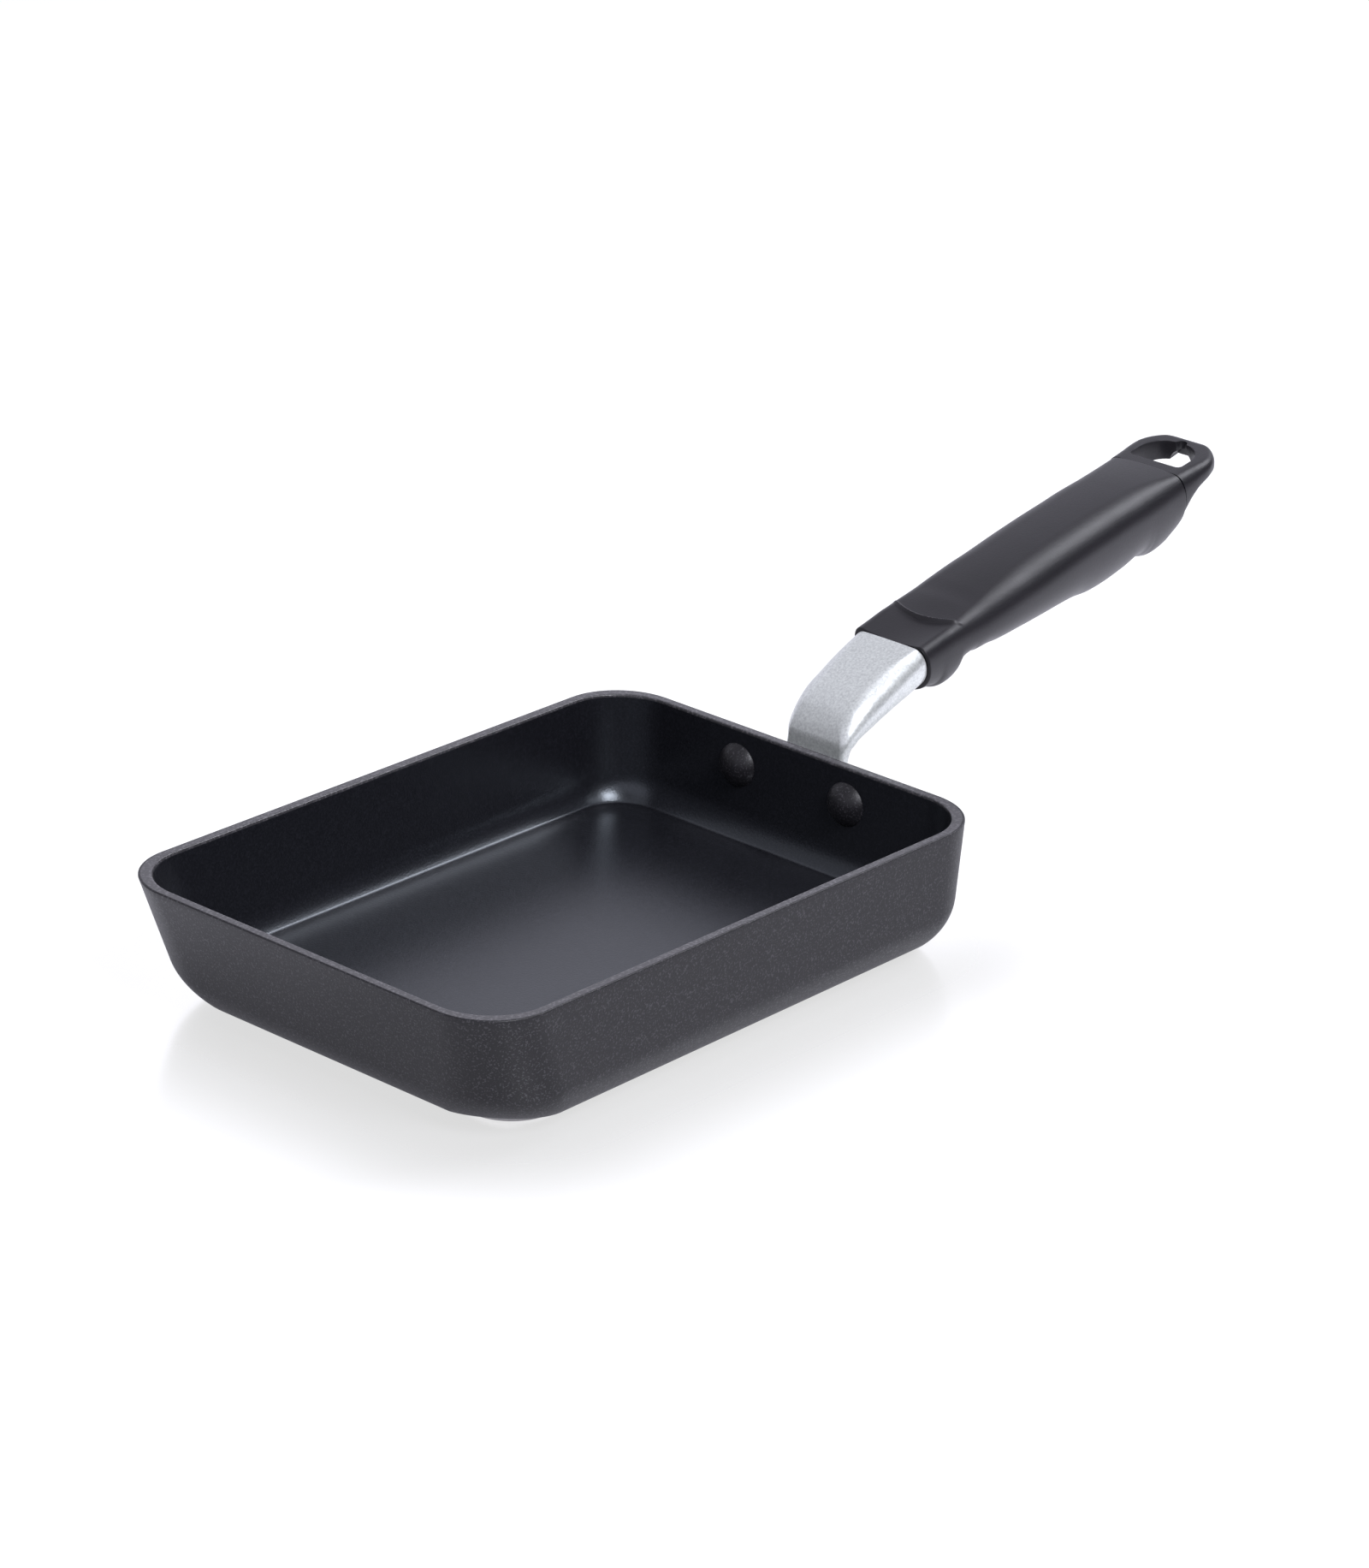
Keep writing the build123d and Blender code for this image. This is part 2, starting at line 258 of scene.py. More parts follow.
# %% Steels
plate_steel, tree, shader, place = finish("plate_steel", Metallic=1.0)
stretched = tree.node("ShaderNodeMapping", inputs={"Vector": place, "Scale": (40.0, 1600.0, 400.0)})
streaks = tree.noise(stretched, 1.0, 3.0)
base = tree.blend(streaks, shade(176, 174, 172), shade(208, 206, 203))
cover(tree, shader, base, 0.26 + streaks * 0.16, tree.bump(streaks, 0.3, 0.00004))

screw_steel, tree, shader, place = finish("screw_steel", Metallic=1.0)
grain = tree.noise(place, 1800.0, 2.0)
cover(tree, shader, tree.blend(grain, shade(170, 170, 172), shade(200, 200, 202)), 0.24 + grain * 0.12)
print(plate_steel.name, screw_steel.name)

# %% [markdown]
# A mesh that follows a rule is a grid of points: rows along it and columns round it.
# One helper turns such a grid into an object with smooth faces, and closes its two ends
# with a fan of triangles.

# %% From a grid of points to an object
def grid_piece(name, points, materials, row_kinds=None):
    """points has the shape rows, columns, 3, in millimetres. Rows are rings, and both ends get a cap."""
    rows, columns, _ = points.shape
    vertices = (points.reshape(-1, 3) * MM).tolist()
    faces, kinds = [], []
    for row in range(rows - 1):
        for column in range(columns):
            after = (column + 1) % columns
            a, b = row * columns, (row + 1) * columns
            faces.append((a + column, a + after, b + after, b + column))
            kinds.append(row_kinds[row] if row_kinds else 0)
    for row, turned in ((0, True), (rows - 1, False)):
        centre = len(vertices)
        vertices.append((points[row].mean(axis=0) * MM).tolist())
        for column in range(columns):
            pair = (row * columns + column, row * columns + (column + 1) % columns)
            faces.append((*(reversed(pair) if turned else pair), centre))
            kinds.append(row_kinds[row] if row_kinds else 0)
    mesh = bpy.data.meshes.new(name)
    mesh.from_pydata(vertices, [], faces)
    for material in materials:
        mesh.materials.append(material)
    mesh.polygons.foreach_set("material_index", kinds)
    mesh.polygons.foreach_set("use_smooth", [True] * len(faces))
    mesh.update()
    piece = bpy.data.objects.new(name, mesh)
    bpy.context.scene.collection.objects.link(piece)
    print(name, len(faces), "faces")
    return piece


print("grid helper ready")

# %% [markdown]
# The pan body. A plain extrusion can't make it: the front wall leans far out and the
# rear one hardly. Going round the outline by the direction that each point faces, every
# wall and corner follows one rule: a straight wall, then a rolling-ball curve into the
# bottom. The front corners open up downwards and have the largest ball. The cavity
# follows the same rule one wall thickness further in, with one ball all round.

# %% The pan's sizes
rim_length, rim_width, rim_height, rim_corner = 185.0, 128.5, 36.3, 17.7
rim_edge, wall, floor_height = 0.35, 2.7, 6.8
front_taper, rear_taper, side_taper = radians(17.5), radians(1.9), radians(4.1)
underside, bottom_radius, floor_radius = 0.5, 13.4, 11.5
# a corner's radius gets smaller inwards, and changes downwards, by these shares
corner_closes_inwards, front_corner_opens, rear_corner_closes = 0.3, 0.12, 0.05
# how much larger the outside ball is at the front wall, the front and the rear corners
front_wall_ball, front_corner_ball, rear_corner_ball = 1.6, 9.0, 3.0
# how much the corners' radius grows from the wall to the flat underside
front_corner_spread, rear_corner_spread = 12.0, 3.6


def pan_outline(height, inset):
    """Front, rear and half width of the walls' planes at a height."""
    drop = rim_height - height
    come_in = [drop * tan(t) + inset / cos(t) for t in (front_taper, rear_taper, side_taper)]
    return -rim_length / 2 + come_in[0], rim_length / 2 - come_in[1], rim_width / 2 - come_in[2]


print("front, rear and half width at the floor:", [round(v, 1) for v in pan_outline(floor_height, wall)])

# %% The directions that the outline's points face
corner_steps, long_wall_points, short_wall_points = 20, 41, 31


def outline_directions():
    """Each point's direction, and how far along a straight wall it is, from -1 to 1. None is a corner."""
    points = []
    for quarter in range(4):
        middle = quarter * pi / 2
        for along in np.linspace(-1, 1, long_wall_points if quarter % 2 else short_wall_points):
            points.append((middle, along))
        for step in range(1, corner_steps):
            points.append((middle + pi / 2 * step / corner_steps, None))
    return points


directions = outline_directions()
print(len(directions), "points round the pan")


# %% One point of the pan's surface
def between(pair, share):
    """The value at a share of the way between two."""
    return pair[0] + (pair[1] - pair[0]) * share


def outline_centre(height, inset, angle, along, spread=0.0):
    """The radius and the centre of the corner arc, or its place along a straight wall."""
    front, rear, half = pan_outline(height, inset)
    rim_radius, drop = rim_corner - corner_closes_inwards * inset, rim_height - height
    front_radius = rim_radius + front_corner_opens * drop + front_corner_spread * spread
    rear_radius = rim_radius - rear_corner_closes * drop + rear_corner_spread * spread
    radius = front_radius if cos(angle) < 0 else rear_radius
    xs, ys = (front + front_radius, rear - rear_radius), (-half + radius, half - radius)
    if along is None:
        return radius, Vector((xs[cos(angle) > 0], ys[sin(angle) > 0]))
    quarter = round(angle / (pi / 2)) % 4
    share = ((along if quarter in (0, 3) else -along) + 1) / 2
    if quarter in (0, 2):
        return radius, Vector((xs[quarter == 0], between(ys, share)))
    return radius, Vector((between(xs, share), ys[quarter == 1]))


def lean(angle):
    """How far the wall leans that faces this way."""
    along_x = tan(rear_taper if cos(angle) > 0 else front_taper) * abs(cos(angle))
    return np.arctan(along_x + tan(side_taper) * abs(sin(angle)))


def bottom_ball(angle):
    """The outside ball: larger at the corners, most at the front ones, and a little at the front wall."""
    front, rear, beside = max(0.0, -cos(angle)), max(0.0, cos(angle)), abs(sin(angle))
    corners = front_corner_ball * beside * front ** 1.5 + rear_corner_ball * beside * rear
    return bottom_radius + front_wall_ball * front ** 2 + corners


def wall_point(height, inset, angle, along):
    """A point on the straight part of the wall."""
    radius, centre = outline_centre(height, inset, angle, along)
    return (centre.x + radius * cos(angle), centre.y + radius * sin(angle), height)


def ball_point(share, inset, plane, ball, stop, angle, along):
    """A point on the rolling-ball curve, from the wall at 0 to flat at 1. No ball means the outside one."""
    spread = 0.0 if ball else share ** 2
    ball = ball or bottom_ball(angle)
    tilt = lean(angle)
    turn = tilt + (stop - tilt) * share
    touch = plane + ball * (1 - sin(tilt))
    radius, centre = outline_centre(touch, inset, angle, along, spread)
    across = radius - ball * cos(tilt) + ball * cos(turn)
    return (centre.x + across * cos(angle), centre.y + across * sin(angle), plane + ball - ball * sin(turn))


def underside_point(share, angle, along):
    """A point on the flat underside, at a share of the way from its middle to its edge."""
    x, y, _ = ball_point(1, 0, underside, None, pi / 2, angle, along)
    return (x * share, y * share, underside)


def rim_edge_point(height, inset, sink, angle, along):
    """A point on one of the rim's rounded edges, from the wall's outline at a height."""
    x, y, _ = wall_point(height, inset, angle, along)
    return (x, y, rim_height - sink)


print("the ball at a front corner:", round(bottom_ball(radians(225)), 1), "mm")

# %% [markdown]
# The rows go from the middle of the underside out, up the wall, over the rim, down the
# cavity and in to the middle of the floor. The floor meets the curve of the cavity in a
# crisp crease, because the cavity was cut flat there.

# %% Rows of the pan body
OUTSIDE, RIM, INSIDE = 0, 1, 2


def pan_rows():
    """The rings of points, and which coating the faces after each have."""
    rows, kinds = [], []

    def row(kind, point, *given):
        rows.append([point(*given, angle, along) for angle, along in directions])
        kinds.append(kind)

    # the underside, its curve and the wall outside
    for share in (0.55, 0.9):
        row(OUTSIDE, underside_point, share)
    for share in np.linspace(1, 0, 22):
        row(OUTSIDE, ball_point, share, 0, underside, None, pi / 2)
    for height in np.linspace(underside + bottom_radius + 3, rim_height - rim_edge - 0.06, 13):
        row(OUTSIDE, wall_point, height, 0)

    # the rim, between its two rounded edges
    edge_turns = [share * pi / 2 for share in (0.25, 0.5, 0.75, 1.0)]
    for turn in edge_turns:
        inset, sink = rim_edge * (1 - cos(turn)), rim_edge * (1 - sin(turn))
        row(OUTSIDE, rim_edge_point, rim_height - rim_edge, inset, sink)
    for share in (0.1, 0.5, 0.9, 1.0):
        row(RIM, wall_point, rim_height, rim_edge + (wall - 2 * rim_edge) * share)
    for turn in edge_turns:
        inset, sink = wall - rim_edge * (1 - sin(turn)), rim_edge * (1 - cos(turn))
        row(RIM, rim_edge_point, rim_height, inset, sink)

    # the wall inside, its curve and the floor, which cuts the curve short
    cavity = underside + wall
    for height in np.linspace(rim_height - rim_edge - 0.4, cavity + floor_radius + 0.5, 12):
        row(INSIDE, wall_point, height, wall)
    crease = np.arcsin(1 - (floor_height - cavity) / floor_radius)
    for share in np.linspace(0, 1, 14):
        row(INSIDE, ball_point, share, wall, cavity, floor_radius, crease)
    floor_edge = rows[-1]
    for share in (0.995, 0.9, 0.7, 0.4, 0.12):
        rows.append([(x * share, y * share, z) for x, y, z in floor_edge])
        kinds.append(INSIDE)
    return np.array(rows), kinds


points, row_kinds = pan_rows()
pan = grid_piece("pan_shell", points, [outside_coat, rim_coat, inside_coat], row_kinds)
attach(pan, "root")
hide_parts("pan_body")

# %% [markdown]
# The stem of the bracket and the grip are mouldings that follow a run: across it, each
# has a flat top, two corners like quarters of an ellipse, and a rounded underside. One
# Geometry Nodes tree makes them both. It bends a grid: rows follow the run, and columns
# go round the section. Curve nodes hold how the top, the underside and the width change,
# so the shape stays easy to edit by hand.

# %% Parts that every tree uses
def start_tree(name, inputs):
    """A new tree whose inputs are (label, kind, first value), and the sockets that they give."""
    group = bpy.data.node_groups.new(name, "GeometryNodeTree")
    group.interface.new_socket("Geometry", in_out="OUTPUT", socket_type="NodeSocketGeometry")
    for label, kind, value in inputs:
        item = group.interface.new_socket(label, in_out="INPUT", socket_type="NodeSocket" + kind)
        if value is not None:
            item.default_value = value
    tree = Tree(group)
    tree.node("NodeGroupInput", output=None)
    return tree, {out.name: Sock(group, out) for out in tree.last.outputs if out.name}


def unit_grid(tree, rows, columns):
    """A grid to bend, and how far along it and across it each point is, from 0 to 1."""
    grid = tree.node("GeometryNodeMeshGrid", inputs={"Size X": 1.0, "Size Y": 1.0,
                                                     "Vertices X": rows, "Vertices Y": columns})
    row, column, _ = [s + 0.5 for s in tree.split(tree.node("GeometryNodeInputPosition"))]
    return grid, row, column


def bent(tree, grid, x, y, z, merge):
    """The grid with its points moved to a place in millimetres, smooth, and closed where points meet."""
    place = tree.node("ShaderNodeCombineXYZ", inputs={"X": x * MM, "Y": y * MM, "Z": z * MM})
    shape = tree.node("GeometryNodeSetPosition", inputs={"Geometry": grid, "Position": place})
    shape = tree.node("GeometryNodeMergeByDistance", inputs={"Geometry": shape, "Distance": merge})
    return tree.node("GeometryNodeSetShadeSmooth", inputs={"Geometry": shape})


def end_tree(tree, shape, material):
    """Real geometry with its material as the tree's result. Gives the node group."""
    shape = tree.node("GeometryNodeRealizeInstances", inputs={"Geometry": shape})
    shape = tree.node("GeometryNodeSetMaterial", inputs={"Geometry": shape, "Material": material})
    tree.node("NodeGroupOutput", inputs={"Geometry": shape}, output=None)
    return tree.tree


def curve_through(tree, share, pairs):
    """The value at a share of the run, on a smooth curve through (share, value) pairs."""
    values = [value for _, value in pairs]
    low, span = min(values), (max(values) - min(values)) or 1.0
    result = tree.node("ShaderNodeFloatCurve", inputs={"Value": share})
    mapping = tree.last.mapping
    points = mapping.curves[0].points
    points[0].location = (pairs[0][0], (pairs[0][1] - low) / span)
    points[1].location = (pairs[-1][0], (pairs[-1][1] - low) / span)
    for at, value in pairs[1:-1]:
        points.new(at, (value - low) / span).handle_type = "AUTO_CLAMPED"
    mapping.update()
    return result * span + low


def eased(x):
    """0 to 1 with a soft start and end."""
    x = x.clamped()
    return x * x * (3.0 - 2.0 * x)


print("tree helpers ready")


# %% Parts of a moulding
def run_rows(row, radius, length):
    """From a row's share: a cap, a rounded edge, the run, a rounded edge and a cap."""
    cap, bend = 0.012, 0.036
    first_turn = ((row - cap) / (bend - cap)).clamped() * (pi / 2)
    last_turn = ((row - (1 - bend)) / (bend - cap)).clamped() * (pi / 2)
    core = ((row - bend) / (1 - 2 * bend)).clamped()
    along = radius * (1.0 - first_turn.math("COSINE")) + (length - radius * 2.0) * core
    along = along + radius * last_turn.math("SINE")
    inset = radius * (1.0 - first_turn.math("SINE")) + radius * (1.0 - last_turn.math("COSINE"))
    closed = (row / cap).clamped() * ((1.0 - row) / cap).clamped()
    return along, inset, closed


def half_section(around, top, under, half, roundness, given):
    """From 0 to 1: half the flat top, a corner and half the underside, and how near the top it is."""
    flat_end, corner_end = 0.28, 0.58
    height = (given["Corner height"] * (roundness * 0.35 + 1.0)).math("MINIMUM", (top - under) * 0.48)
    width = height * (given["Corner slant"] + roundness * 0.42)
    corner_turn = ((around - flat_end) / (corner_end - flat_end)).clamped() * (pi / 2)
    under_turn = ((around - corner_end) / (1 - corner_end)).clamped() * (pi / 2)
    bulge = 2.0 / given["Under power"]
    across = (around / flat_end).clamped() * (half - width) + width * corner_turn.math("SINE")
    across = across * under_turn.math("COSINE").math("MAXIMUM", 0.0) ** bulge
    up = top - height * (1.0 - corner_turn.math("COSINE"))
    up = up - (top - height - under) * under_turn.math("SINE") ** bulge
    return across, up, 1.0 - under_turn.math("SINE")


def crown(across, along, half):
    """A low arch over the top, which starts gently beyond the collar."""
    bow = across / half
    return (0.4 - bow * bow) * eased((along - 10.0) / 14.0)


def collar_face(across, along):
    """The collar's relief: a dish that ends at an arc, and the arc's raised line."""
    arc_start, arc_bend, line_height = 11.9, 0.027, 0.36
    arc = across * across * arc_bend + arc_start
    dish = eased((arc - along + 0.5) / 0.9)
    shallower_along, shallower_across = (along / 13.0).clamped() * 0.55, across * across / 150.0
    dish = dish * (1.0 - shallower_along) * (1.0 - shallower_across).clamped()
    line = eased(1.0 - (along - arc - 0.35).math("ABSOLUTE") / 0.75) * eased((12.2 - across) / 3.0)
    return line * line_height - dish


print("parts of a moulding ready")

# %% The tree that makes a moulding
corner_height, corner_slant, under_power = 5.4, 0.66, 2.2


def moulding_tree(name, run, sizes):
    """run holds (share, x, z, climb); sizes (share, top, underside, half width, roundness from 0 to 1)."""
    tree, given = start_tree(name, (
        ("Rows", "Int", 220), ("Columns", "Int", 97), ("Length", "Float", 100.0),
        ("Corner height", "Float", corner_height), ("Corner slant", "Float", corner_slant),
        ("Under power", "Float", under_power), ("Edge radius", "Float", 0.4),
        ("Collar dip", "Float", 0.0), ("Crown", "Float", 0.0), ("Finish", "Material", None)))
    grid, row, column = unit_grid(tree, given["Rows"], given["Columns"])
    along, inset, closed = run_rows(row, given["Edge radius"], given["Length"])

    def read(table, index):
        return curve_through(tree, along / given["Length"], [(line[0], line[index]) for line in table])

    top, under, half = read(sizes, 1) - inset, read(sizes, 2) + inset, read(sizes, 3) - inset
    side, around = (column - 0.5).math("SIGN"), (column * 2.0 - 1.0).math("ABSOLUTE")
    across, up, on_top = half_section(around, top, under, half, read(sizes, 4), given)
    up = up + given["Crown"] * crown(across, along, half) * on_top
    up = up + given["Collar dip"] * collar_face(across, along) * on_top

    # the caps close the ends, and the climb turns the section's plane onto the run
    middle = (top + under) * 0.5
    up, across = middle + (up - middle) * closed, across * side * closed
    climb = read(run, 3) * (pi / 180)
    x = read(run, 1) - up * climb.math("SINE")
    z = read(run, 2) + up * climb.math("COSINE")
    return end_tree(tree, bent(tree, grid, x, across, z, 1e-6), given["Finish"])


print("moulding tree ready")

# %% From a tree to a plain mesh
def grown(name, group, **values):
    """A new object whose mesh a Geometry Nodes tree makes, with the modifier taken off again."""
    seed = bpy.data.objects.new(name, bpy.data.meshes.new(name + "_seed"))
    bpy.context.scene.collection.objects.link(seed)
    modifier = seed.modifiers.new("grow", "NODES")
    modifier.node_group = group
    inputs = [item for item in group.interface.items_tree if item.in_out == "INPUT"]
    identifiers = {item.name: item.identifier for item in inputs}
    for label, value in values.items():
        modifier[identifiers[label.replace("_", " ")]] = value
    seen = seed.evaluated_get(bpy.context.evaluated_depsgraph_get())
    mesh = bpy.data.meshes.new_from_object(seen)
    seed.modifiers.clear()
    seed.data = mesh
    print(name, len(mesh.polygons), "faces,", [round(v / MM, 1) for v in seed.dimensions], "mm")
    return seed


print("helper that grows a mesh ready")

# %% [markdown]
# The stem rises steeply behind the rim, bends over like a swan's neck and widens into
# the grip's collar. Its run was read from the photograph's side lines.

# %% Stem of the bracket
stem_run = [(0.0, 94.6, 30.5, 0), (0.038, 96.3, 30.8, 20), (0.059, 97.15, 31.2, 45),
            (0.10, 98.0, 32.8, 86), (0.208, 98.95, 37.7, 78), (0.323, 101.15, 42.4, 62),
            (0.459, 105.5, 46.7, 42), (0.62, 111.95, 50.15, 29), (0.813, 119.95, 53.75, 23),
            (1.0, 127.95, 56.5, 15)]
stem_sizes = [(0.0, 0, -14.2, 11.0, 0), (0.038, 0, -11.4, 10.8, 0), (0.059, 0, -7.2, 10.4, 0),
              (0.10, 0, -4.6, 9.9, 0), (0.208, 0.1, -6.4, 10.7, 0.5), (0.323, 0.25, -9.7, 11.4, 1),
              (0.459, 0.3, -11.3, 11.8, 1), (0.62, 0.3, -12.0, 12.0, 1), (0.813, 0.2, -13.4, 12.1, 0.8),
              (1.0, 0, -13.8, 12.0, 0.3)]
stem = grown("stem_shell", moulding_tree("stem moulding", stem_run, stem_sizes), Rows=260, Columns=121,
             Length=45.3, Corner_height=3.9, Edge_radius=0.3, Crown=0.25, Finish=satin_metal)

# %% [markdown]
# The flange is the plate that the rivets hold. It is a rounded rectangle with softened
# front edges, tilted with the wall, and the stem grows out of its middle.

# %% Flange of the bracket
rivet_height, rivet_spacing = 26.0, 37.0
flange_width, flange_height, flange_thickness = 51.0, 16.5, 3.4
flange_top, flange_corner, flange_edge, flange_back_edge, flange_cap = 31.5, 7.0, 1.0, 0.15, 3.0
flange_middle = flange_top - flange_height / 2 - rivet_height
wall_x = rim_length / 2 - (rim_height - rivet_height) * tan(rear_taper)
wall_out = Vector((cos(rear_taper), 0, -sin(rear_taper)))
wall_up = Vector((sin(rear_taper), 0, cos(rear_taper)))


def on_wall(across, up, out):
    """A place by how far it is across, above the rivets' line and out of the wall."""
    return Vector((wall_x, 0, rivet_height)) + Vector((0, across, 0)) + wall_up * up + wall_out * out


def flange_ring(inset, out):
    """The flange's outline, some way in from its edge and out of the wall."""
    corner = flange_corner - inset
    across, up = flange_width / 2 - inset - corner, flange_height / 2 - inset - corner
    ring = []
    for quarter, (sx, sy) in enumerate(((1, 1), (-1, 1), (-1, -1), (1, -1))):
        for step in range(9):
            angle = (quarter + step / 8) * pi / 2
            ring.append(on_wall(sx * across + corner * cos(angle),
                                flange_middle + sy * up + corner * sin(angle), out))
    return ring


flange_rings = [flange_ring(flange_cap, 0), flange_ring(flange_back_edge, 0), flange_ring(0, flange_back_edge),
                flange_ring(0, flange_thickness - flange_edge)]
for share in (0.25, 0.5, 0.75, 1.0):
    edge_turn = share * pi / 2
    flange_rings.append(flange_ring(flange_edge * (1 - cos(edge_turn)),
                                    flange_thickness - flange_edge * (1 - sin(edge_turn))))
flange_rings.append(flange_ring(flange_cap, flange_thickness))
flange_points = np.array([[tuple(p) for p in ring] for ring in flange_rings])
flange = grid_piece("flange_shell", flange_points, [satin_metal])
for piece in (stem, flange):
    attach(piece, "root")
    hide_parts("handle_bracket")

# %% [markdown]
# The grip starts with a collar that steps out over the stem, has a guard under it for
# the first finger and a long belly for the others. The collar's upper face is dished and
# ends in a raised arc, which catches the light as a thin line. Beyond it the top is
# slightly crowned.

# %% Grip
grip_run = [(0.0, 128.0, 57.1, 15), (1.0, 236.67, 86.22, 15)]
grip_sizes = [(0.0, 0.48, -15.5, 12.96, 0), (0.046, 0.15, -17.3, 13.1, 0), (0.086, -0.08, -19.4, 13.25, 0),
              (0.11, -0.2, -18.7, 13.3, 0.05), (0.137, -0.3, -14.7, 13.4, 0.1),
              (0.162, -0.35, -14.3, 13.5, 0.2), (0.189, -0.4, -15.3, 13.6, 0.3),
              (0.224, -0.5, -16.0, 13.7, 0.4), (0.278, -0.4, -17.8, 13.85, 0.6),
              (0.349, -0.45, -19.4, 13.95, 0.8), (0.455, -0.8, -21.65, 13.9, 1),
              (0.571, -1.5, -23.95, 13.85, 1), (0.686, -2.5, -27.1, 13.75, 1),
              (0.775, -3.45, -27.6, 13.65, 0.9), (0.829, -4.15, -27.1, 13.6, 0.9),
              (0.873, -4.8, -28.7, 13.5, 0.8), (0.918, -5.6, -30.2, 13.45, 0.6),
              (0.962, -6.5, -29.2, 13.4, 0.3), (1.0, -7.35, -25.3, 13.4, 0)]
grip = grown("grip_shell", moulding_tree("grip moulding", grip_run, grip_sizes), Rows=520, Columns=121,
             Length=112.5, Edge_radius=0.35, Collar_dip=1.5, Crown=1.0, Finish=grip_black)

# %% [markdown]
# The hanging loop is its own cap. It starts with the grip's section, thins quickly to a
# flat tongue and ends round. An eye is cut through it, with a notch for a screwdriver,
# and a bore that leads to the screw. Cutting with the Boolean modifier keeps the edges
# true, and a Bevel modifier softens them afterwards.

# %% Loop without its eye
loop_start, loop_climb, grip_climb = Vector((238.59, 0, 79.05)), radians(9), radians(15)
loop_along = Vector((cos(loop_climb), 0, sin(loop_climb)))
loop_up = Vector((-sin(loop_climb), 0, cos(loop_climb)))
loop_length, loop_half, loop_edge, loop_under_edge = 21.5, 13.4, 2.9, 2.0
# where the end starts to round, how square it is, and how long the change of section takes
end_start, end_power, neck_length, slimming_length = 9.0, 2.3, 5.0, 13.0
loop_under = [(0, -17.85), (1.2, -14.9), (2.4, -12.4), (3.6, -10.5), (5, -8.9), (7, -7.5), (10, -6.4),
              (14, -5.7), (21.5, -5.2)]


def on_loop(along, across, up):
    """A place by how far it is along the loop, across it and above its top."""
    return loop_start + loop_along * along + Vector((0, across, 0)) + loop_up * up


def edge_sink(tip, radius):
    """How far a rounded edge has come down at a distance from the tip."""
    return radius - sqrt(max(0.0, radius * radius - (radius - min(tip, radius)) ** 2))


def loop_ring(along):
    """Points round the loop at one distance from its parting line."""
    rounding = 1 - max(0.0, (along - end_start) / (loop_length - end_start)) ** end_power
    half = loop_half * rounding ** (1 / end_power)
    tip = loop_length - along
    top = -edge_sink(tip, loop_edge)
    under = np.interp(along, *zip(*loop_under)) + edge_sink(tip, loop_under_edge)
    neck, slim = min(1.0, along / neck_length), min(1.0, along / slimming_length)
    height = min(corner_height - 2.8 * slim, 0.5 * (top - under))
    width = min(height * (corner_slant + 0.3 * slim), half * 0.9)
    power = under_power + 2.0 * neck
    shear = tan(grip_climb - loop_climb) * (1 - neck)
    side = [(share * (half - width), top) for share in (0, 0.3, 0.6, 0.85, 1)]
    side += [(half - width * (1 - sin(t)), top - height * (1 - cos(t))) for t in np.linspace(0, pi / 2, 9)[1:]]
    side += [(half * cos(t) ** (2 / power), top - height - (top - height - under) * sin(t) ** (2 / power))
             for t in np.linspace(0, pi / 2, 14)[1:]]
    ring = side + [(-y, up) for y, up in side[-2:0:-1]]
    return [on_loop(along - up * shear, y, up) for y, up in ring]


# closer together towards the tip, and the last just short of it
end_rows = end_start + (loop_length - end_start) * np.sin(np.linspace(0, pi / 2, 34)[1:]) * 0.9997
loop_rings = [loop_ring(along) for along in (*np.linspace(0, end_start, 26), *end_rows)]
loop = grid_piece("loop_shell", np.array([[tuple(p) for p in ring] for ring in loop_rings]), [grip_black])


# %% Cutting tools
def prism(name, outline, low, high, place):
    """A closed prism from an outline of (along, across) points between two heights."""
    rows = np.array([[tuple(place(a, y, up)) for a, y in outline] for up in (low, high)])
    return grid_piece(name, rows, [grip_black])


def arc(centre, radius, start, stop, steps):
    """Points on an arc between two directions in degrees."""
    turns = np.linspace(radians(start), radians(stop), steps)
    return [(centre[0] + radius * cos(t), centre[1] + radius * sin(t)) for t in turns]


eye_start, eye_end, eye_half, eye_radius, eye_root, notch = 3.7, 16.7, 8.7, 8.0, 1.5, 1.6
eye_outline = (arc((eye_start + eye_root, -eye_half + eye_root), eye_root, 180, 270, 7)
               + arc((eye_end - eye_radius, -eye_half + eye_radius), eye_radius, 270, 352, 16)
               + arc((eye_end, 0), notch, -78, 78, 9)
               + arc((eye_end - eye_radius, eye_half - eye_radius), eye_radius, 8, 90, 16)
               + arc((eye_start + eye_root, eye_half - eye_root), eye_root, 90, 180, 7))
eye_tool = prism("eye_tool", eye_outline, -22, 3, on_loop)

# the screw's axis starts this far below the grip's top, and climbs less steeply than it
screw_climb, screw_depth = radians(11.5), 7.4
bore_radius, bore_start, bore_end = 3.8, 102.7, 132
_, grip_x, grip_z, _ = grip_run[0]
screw_start = Vector((grip_x + screw_depth * sin(grip_climb), 0, grip_z - screw_depth * cos(grip_climb)))
screw_along = Vector((cos(screw_climb), 0, sin(screw_climb)))
screw_up = Vector((-sin(screw_climb), 0, cos(screw_climb)))


def on_screw(across, up, along):
    """A place by how far it is across, above and along the screw's axis."""
    return screw_start + screw_along * along + Vector((0, across, 0)) + screw_up * up


bore_tool = prism("bore_tool", arc((0, 0), bore_radius, 0, 345, 24), bore_start, bore_end, on_screw)


# %% Cutting
soft_edge, soft_edge_angle, smooth_angle = 0.45, radians(38), radians(40)


def outwards(piece):
    """Turns a closed mesh's faces outwards."""
    work = bmesh.new()
    work.from_mesh(piece.data)
    bmesh.ops.remove_doubles(work, verts=work.verts, dist=1e-7)
    bmesh.ops.recalc_face_normals(work, faces=work.faces)
    work.to_mesh(piece.data)
    work.free()


